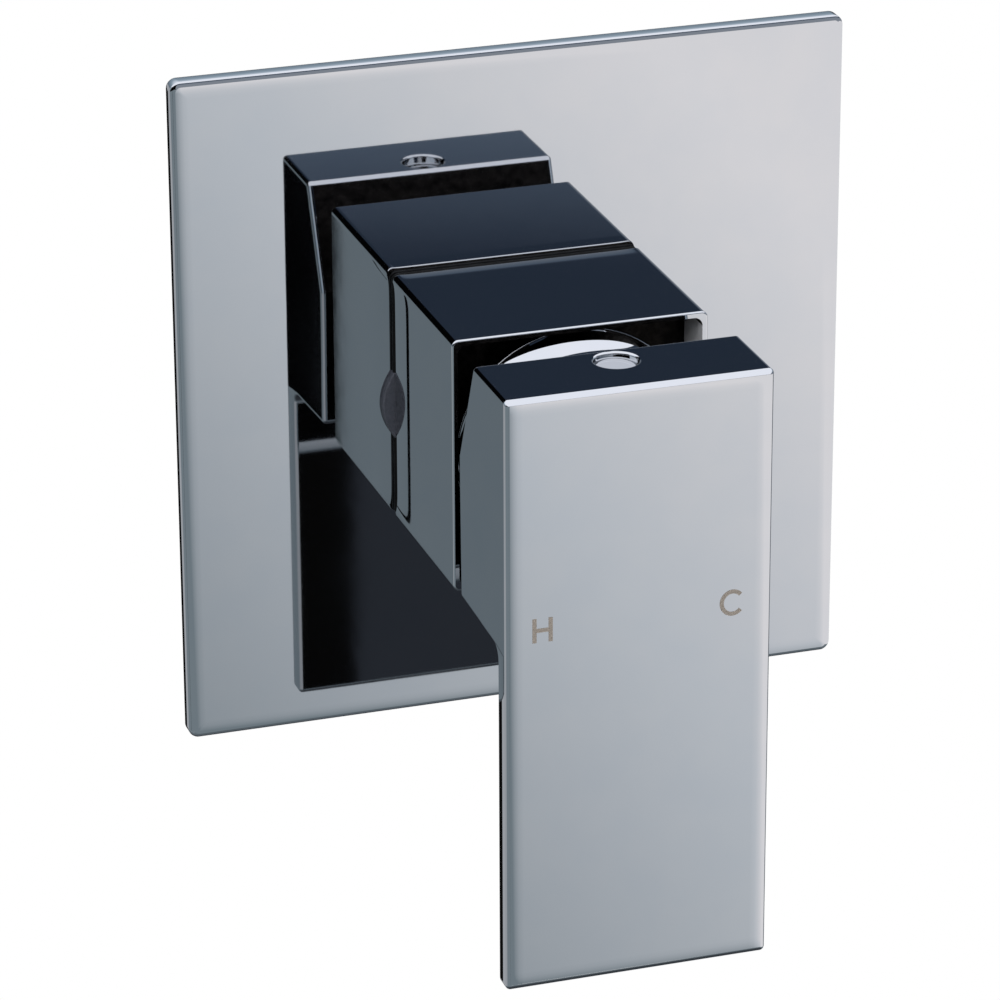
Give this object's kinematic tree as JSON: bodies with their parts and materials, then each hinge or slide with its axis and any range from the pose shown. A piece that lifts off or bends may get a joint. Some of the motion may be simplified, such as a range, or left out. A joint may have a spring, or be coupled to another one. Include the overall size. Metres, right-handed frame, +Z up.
{
  "type": "wall mixer tap",
  "caption": "Single-lever wall mixer tap: square chrome plate, square sleeve and flat-bladed lever over a ceramic cartridge in a brass in-wall body.",
  "frame": {"origin": "on the spindle axis, in the plane of the finished wall", "axes": "+X to the right seen from the room, +Y into the wall, +Z up"},
  "size_m": [0.12, 0.1131, 0.1432],
  "materials": {
    "chrome_trim": "mirror polished",
    "cast_brass": "shot blasted casting",
    "turned_brass": "turned",
    "steel": "ground",
    "alumina": "lapped",
    "white_acetal": "moulded",
    "grey_acetal": "moulded",
    "black_nylon": "moulded",
    "rubber": "moulded",
    "seal_rubber": "moulded",
    "foam": "closed-cell foam"
  },
  "bodies": {
    "mixer": {"mixer_body": "cast_brass", "wall_plate": "chrome_trim", "plate_gasket": "foam", "neck_o_ring": "rubber", "sleeve_gasket": "rubber", "sleeve": "chrome_trim", "dome_cover": "chrome_trim", "cartridge_nut": "turned_brass", "cartridge_housing": "white_acetal", "cartridge_base": "grey_acetal", "port_seals": "seal_rubber", "housing_o_ring": "rubber", "fixed_disc": "alumina", "slip_ring": "white_acetal"},
    "rotor": {"rotor": "grey_acetal", "pivot_pin": "steel"},
    "disc": {"disc_carrier": "white_acetal", "moving_disc": "alumina"},
    "lever": {"lever_stem": "turned_brass", "stem_bush": "black_nylon", "handle": "chrome_trim", "grub_screw": "steel", "handle_plug": "chrome_trim"}
  },
  "joints": [
    {"name": "temperature_turn", "type": "hinge", "parent": "mixer", "child": "rotor", "pos_m": [0, -0.029, 0], "axis": [0, -1, 0], "range_deg": [-50, 50]},
    {"name": "flow_lift", "type": "hinge", "parent": "rotor", "child": "lever", "pos_m": [0, -0.029, 0], "axis": [-1, 0, 0], "range_deg": [0, 25]},
    {"name": "disc_slide", "type": "slide", "parent": "rotor", "child": "disc", "axis": [0, 0, -1], "range_m": [0, 0.00402]}
  ],
  "couplings": [
    {"joint": "disc_slide", "follows": "flow_lift", "m_per_rad": 0.0092014}
  ]
}
